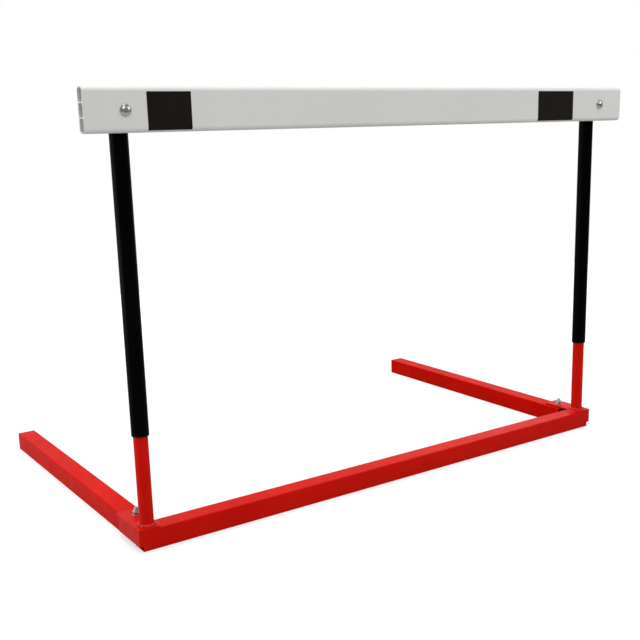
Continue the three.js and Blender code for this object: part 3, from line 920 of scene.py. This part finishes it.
def floor():
    """Pale, with light of its own added where the camera sees it, so that only a soft shadow shows. A fifth
    of that light is seen in reflections."""
    mesh = bpy.data.meshes.new("floor")
    mesh.from_pydata([(-2.2, -2.6, 0), (2.6, -2.6, 0), (2.6, 2.2, 0), (-2.2, 2.2, 0)], [], [(0, 1, 2, 3)])
    obj = bpy.data.objects.new("floor", mesh)
    bpy.context.scene.collection.objects.link(obj)
    n = Nodes("pale_floor", roughness=0.9, specular=0.05)
    colour = n.ramp(n.noise(3, 2, 0.5), [(0.3, (0.38, 0.38, 0.38)), (0.7, (0.40, 0.40, 0.40))])
    rays = n.tree.nodes.new("ShaderNodeLightPath")
    seen = n.sum(rays.outputs["Is Camera Ray"], rays.outputs["Is Transmission Ray"], "MAXIMUM")
    seen = n.sum(seen, n.sum(rays.outputs["Is Glossy Ray"], 0.2, "MULTIPLY"), "MAXIMUM")
    length = n.tree.nodes.new("ShaderNodeVectorMath")
    length.operation = "LENGTH"
    n.link(n.place, length.inputs[0])
    lift = n.between(length.outputs["Value"], 0.62, 0.91, 0.7, 2.0)
    n.shader.inputs["Emission Color"].default_value = (1, 1, 1, 1)
    n.link(n.sum(seen, lift, "MULTIPLY"), n.shader.inputs["Emission Strength"])
    mesh.materials.append(n.done(colour, n.between(n.noise(8), 0.88, 0.94), n.bump(n.noise(60), 0.0001, 0.1)))


def world():
    """White where the camera looks. The light is strongest from above and grows a little to the left and
    the front. Reflections see white at the back, but for a dark upright gap, and elsewhere a dimmed light."""
    made = bpy.data.worlds.new("studio")
    bpy.context.scene.world = made
    made.use_nodes = True
    tree = made.node_tree
    background = tree.nodes["Background"]
    place = tree.nodes.new("ShaderNodeTexCoord")
    split = tree.nodes.new("ShaderNodeSeparateXYZ")
    tree.links.new(place.outputs["Generated"], split.inputs[0])
    rays = tree.nodes.new("ShaderNodeLightPath")
    glossy = rays.outputs["Is Glossy Ray"]

    def combine(a, b, operation):
        return calculate(tree, a, b, operation)

    x, y, z = split.outputs
    glow = 0.36
    for direction, growth in ((z, 0.45), (y, -0.06), (x, -0.12)):
        glow = combine(glow, combine(direction, growth, "MULTIPLY"), "ADD")
    glow = combine(glow, 0.12, "MAXIMUM")
    backdrop = combine(combine(y, 0.25, "ADD"), 2.2, "MULTIPLY")
    backdrop = combine(combine(backdrop, 0.0, "MAXIMUM"), 1.0, "MINIMUM")
    gap, left_edge, right_edge, least = 0.42, 11.0, 4.0, 0.08
    leftward = combine(combine(gap, x, "SUBTRACT"), left_edge, "MULTIPLY")
    rightward = combine(combine(x, gap, "SUBTRACT"), right_edge, "MULTIPLY")
    window = combine(combine(leftward, rightward, "MAXIMUM"), least, "ADD")
    backdrop = combine(backdrop, combine(window, 1.0, "MINIMUM"), "MULTIPLY")
    seen = combine(rays.outputs["Is Camera Ray"], rays.outputs["Is Transmission Ray"], "MAXIMUM")
    seen = combine(seen, combine(glossy, backdrop, "MULTIPLY"), "MAXIMUM")
    rest = combine(1.0, seen, "SUBTRACT")
    dim = combine(combine(glossy, -0.55, "MULTIPLY"), 1.0, "ADD")
    strength = combine(combine(combine(glow, dim, "MULTIPLY"), rest, "MULTIPLY"), seen, "ADD")
    tree.links.new(strength, background.inputs["Strength"])
    background.inputs["Color"].default_value = (1, 1, 1, 1)


def lamp(name, at, look, size, energy):
    """A rectangular lamp at a place, turned to look at another."""
    light = bpy.data.lights.new(name, "AREA")
    light.shape = "RECTANGLE"
    light.size, light.size_y = size
    light.energy = energy
    obj = bpy.data.objects.new(name, light)
    bpy.context.scene.collection.objects.link(obj)
    obj.location = at
    obj.rotation_euler = (Vector(look) - Vector(at)).to_track_quat("-Z", "Y").to_euler()


def camera():
    """The camera of the photograph, fitted to its corners and edges: angles in radians, place in metres,
    focal length and optical centre in pixels."""
    yaw, pitch, roll = 0.602292, 0.227916, -0.025058
    place = (-1.14429, -1.76963, 0.69956)
    pixels, focal, centre_x, centre_y, sensor = 640, 959.02, 333.0, 348.70, 36
    forward = Vector((math.sin(yaw) * math.cos(pitch), math.cos(yaw) * math.cos(pitch), -math.sin(pitch)))
    right = Vector((math.cos(yaw), -math.sin(yaw), 0))
    up = right.cross(forward)
    turned_right = math.cos(roll) * right + math.sin(roll) * up
    turned_up = -math.sin(roll) * right + math.cos(roll) * up
    data = bpy.data.cameras.new("photo_camera")
    data.sensor_fit = "HORIZONTAL"
    data.sensor_width = sensor
    data.lens = focal / pixels * sensor
    data.shift_x = (pixels / 2 - centre_x) / pixels
    data.shift_y = (centre_y - pixels / 2) / pixels
    data.clip_end = 100
    obj = bpy.data.objects.new("photo_camera", data)
    bpy.context.scene.collection.objects.link(obj)
    turn = Matrix((turned_right, turned_up, -forward)).transposed()
    obj.matrix_world = Matrix.Translation(place) @ turn.to_4x4()
    bpy.context.scene.camera = obj


floor()
world()
lamp("key", (-1.0, -5.2, 3.6), (0, -0.2, 0.4), (1.2, 1.1), 50)
lamp("overhead", (-0.4, 0.7, 7.0), (0, -0.2, 0), (3.6, 3.2), 218)
lamp("left", (-1.9, 0.35, 0.35), (-0.5, 0, 0.05), (0.9, 0.5), 6.0)
lamp("right", (2.8, -2.9, 2.1), (0.1, -0.32, 0.7), (1.5, 1.7), 28)
camera()
bpy.context.scene.view_settings.view_transform = "Standard"
